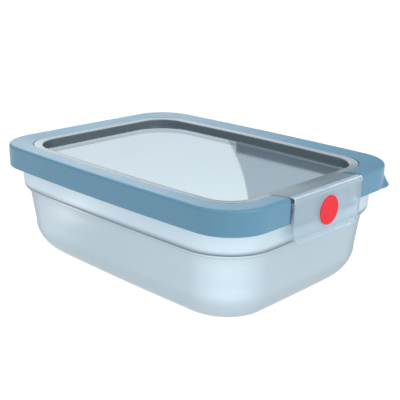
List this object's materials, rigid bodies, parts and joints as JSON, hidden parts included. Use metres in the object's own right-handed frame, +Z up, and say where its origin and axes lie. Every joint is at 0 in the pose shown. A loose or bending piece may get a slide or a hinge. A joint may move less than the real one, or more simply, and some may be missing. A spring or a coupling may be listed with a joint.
{
  "type": "snap lid food container",
  "caption": "Rectangular translucent food box with a drafted tub, a clear windowed lid in a blue rim, a gasket and a hinged snap clip.",
  "frame": {"origin": "centre of the tub's flat resting face, at the surface it stands on", "axes": "+X along the box's length towards the end with the snap clip, +Y across it towards the side of the corner lift tab, +Z up"},
  "size_m": [0.204, 0.149, 0.0725],
  "materials": {
    "tub": "frosted translucent polypropylene, smooth",
    "lid_panel": "clear polished polypropylene",
    "lid_frame": "soft satin blue thermoplastic elastomer",
    "lid_seal": "translucent silicone",
    "clip": "clear polished polypropylene",
    "clip_dot": "smooth red"
  },
  "bodies": {
    "tub": {"tub": "tub"},
    "lid": {"lid_panel": "lid_panel", "lid_frame": "lid_frame", "lid_seal": "lid_seal"},
    "clip": {"clip_hinge_web": "clip", "clip_flap": "clip", "clip_dot": "clip_dot"}
  },
  "joints": [
    {"name": "lid_lift", "type": "slide", "parent": "tub", "child": "lid", "axis": [0, 0, 1], "range_m": [0, 0.09]},
    {"name": "clip_hinge", "type": "hinge", "parent": "lid", "child": "clip", "pos_m": [0.1006, 0, 0.0708], "axis": [0, -1, 0], "range_deg": [0, 120]}
  ]
}
